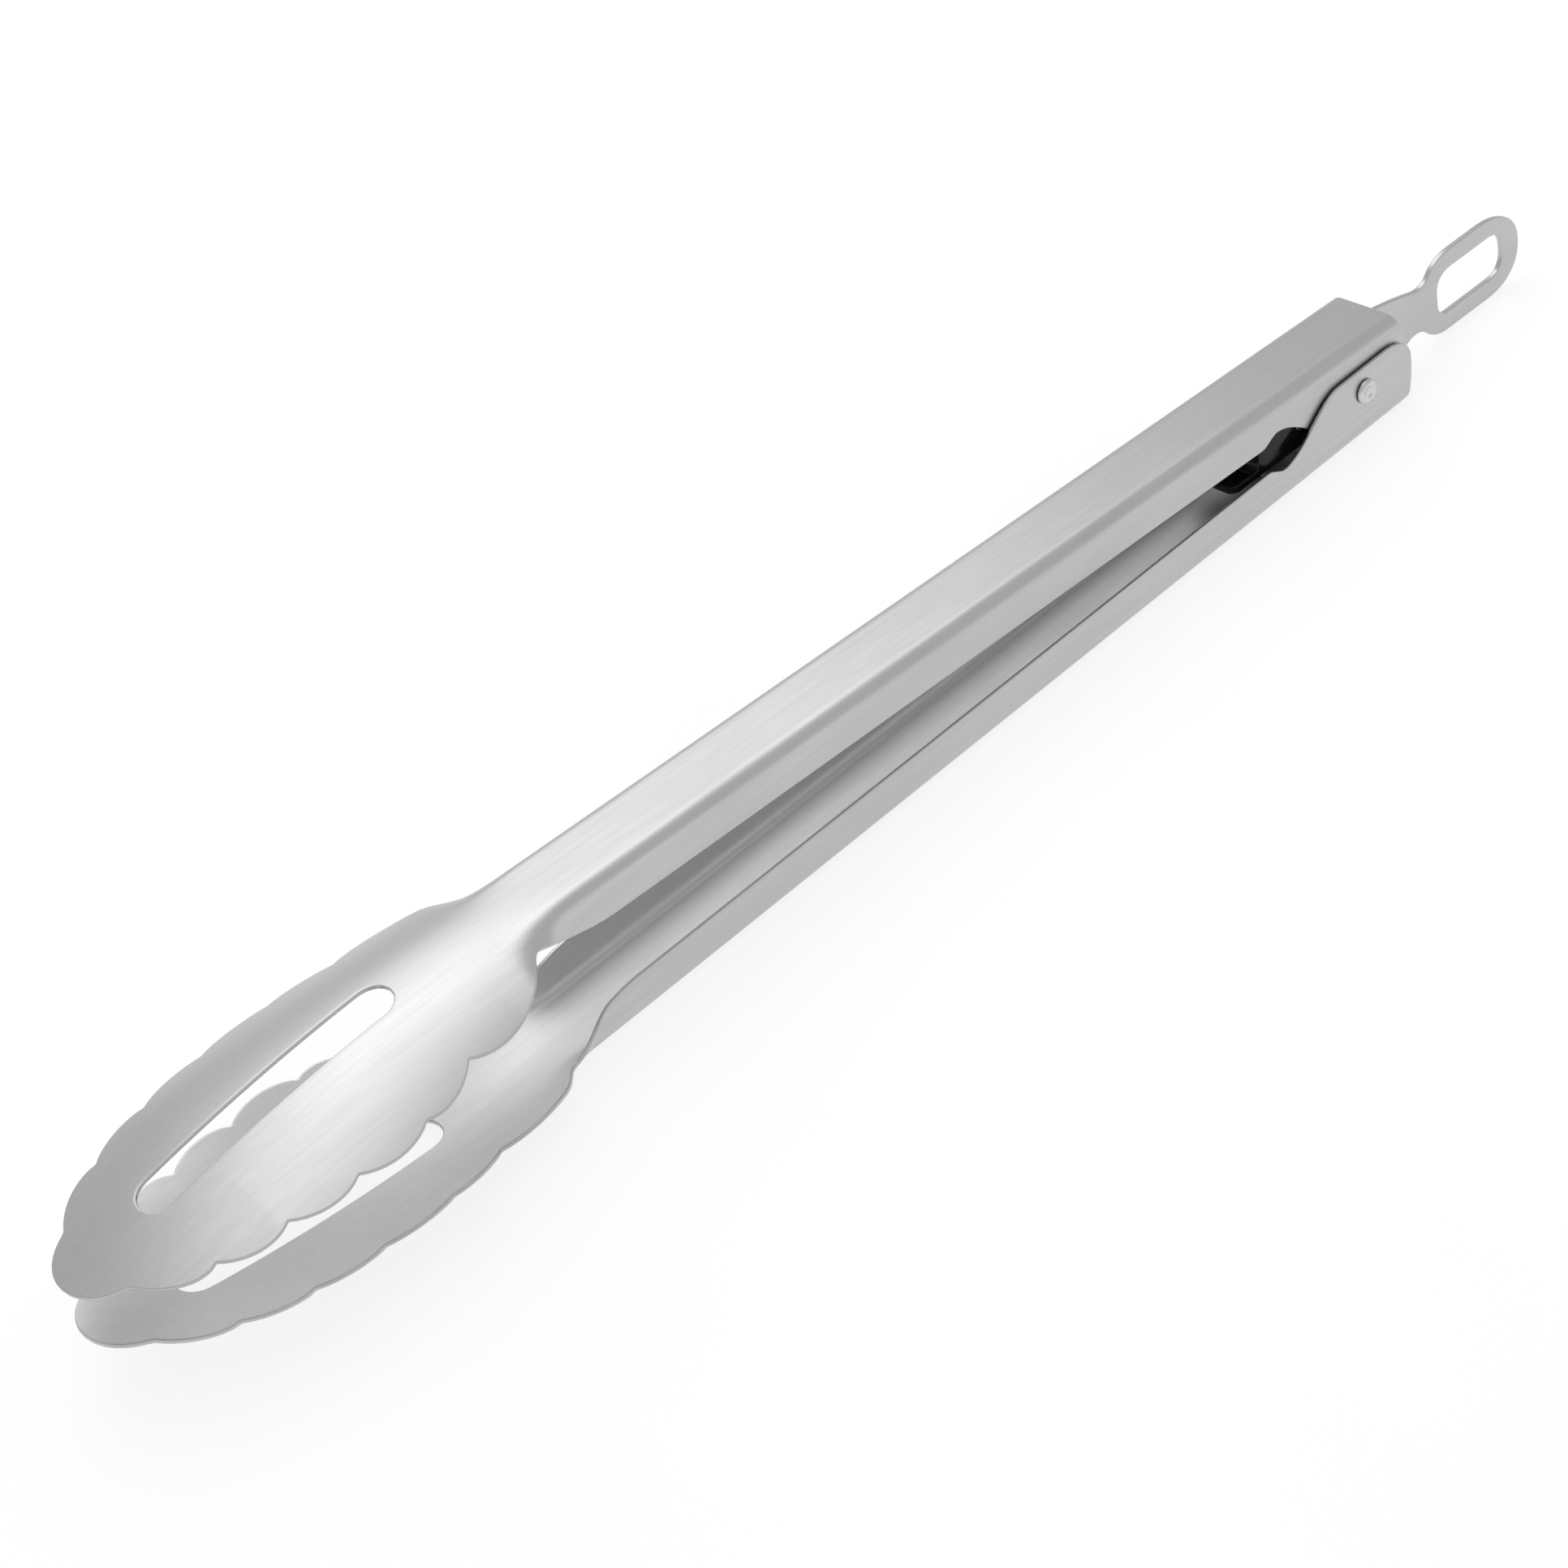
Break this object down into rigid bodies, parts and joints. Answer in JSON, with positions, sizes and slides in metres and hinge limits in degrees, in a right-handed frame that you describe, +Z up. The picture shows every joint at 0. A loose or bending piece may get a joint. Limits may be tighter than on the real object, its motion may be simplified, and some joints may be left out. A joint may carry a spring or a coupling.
{
  "type": "spring loaded kitchen tongs",
  "caption": "Locking steel kitchen tongs: channel arms with slotted, scalloped heads on a sprung hinge, held shut by a flat pull loop at the back.",
  "frame": {"origin": "the middle of the closed tongs' box, on the surface they lie on", "axes": "+X along the tongs from the heads to the pull loop, +Y across them along the hinge pin, +Z up from the lower arm to the upper arm"},
  "size_m": [0.4632, 0.0618, 0.042],
  "materials": {
    "arm_steel": "fine brushed stainless steel",
    "loop_steel": "satin stainless steel plate",
    "rivet_steel": "polished stainless steel",
    "spring_steel": "bright drawn spring wire",
    "black_nylon": "glossy black moulded nylon"
  },
  "bodies": {
    "lower": {"lower_arm": "arm_steel", "hinge_rivet": "rivet_steel", "hinge_sleeve": "rivet_steel", "spring_left": "spring_steel", "spring_right": "spring_steel"},
    "upper": {"upper_arm": "arm_steel"},
    "lock": {"lock_plate": "loop_steel", "lock_slider": "black_nylon", "slider_pin": "rivet_steel"}
  },
  "joints": [
    {"name": "arm_hinge", "type": "hinge", "parent": "lower", "child": "upper", "pos_m": [0.15576, 0, 0.013], "axis": [0, 1, 0], "range_deg": [-1.7, 16.5], "stiffness_Nm_per_rad": 0.6, "springref_deg": 22.49, "deforming": ["spring_left", "spring_right"]},
    {"name": "lock_slide", "type": "slide", "parent": "lower", "child": "lock", "axis": [0.9997, 0, -0.026], "range_m": [-0.0172, 0.0018]}
  ],
  "couplings": [
    {"joint": "lock_slide", "follows": "arm_hinge", "m_per_rad": -0.0586}
  ]
}
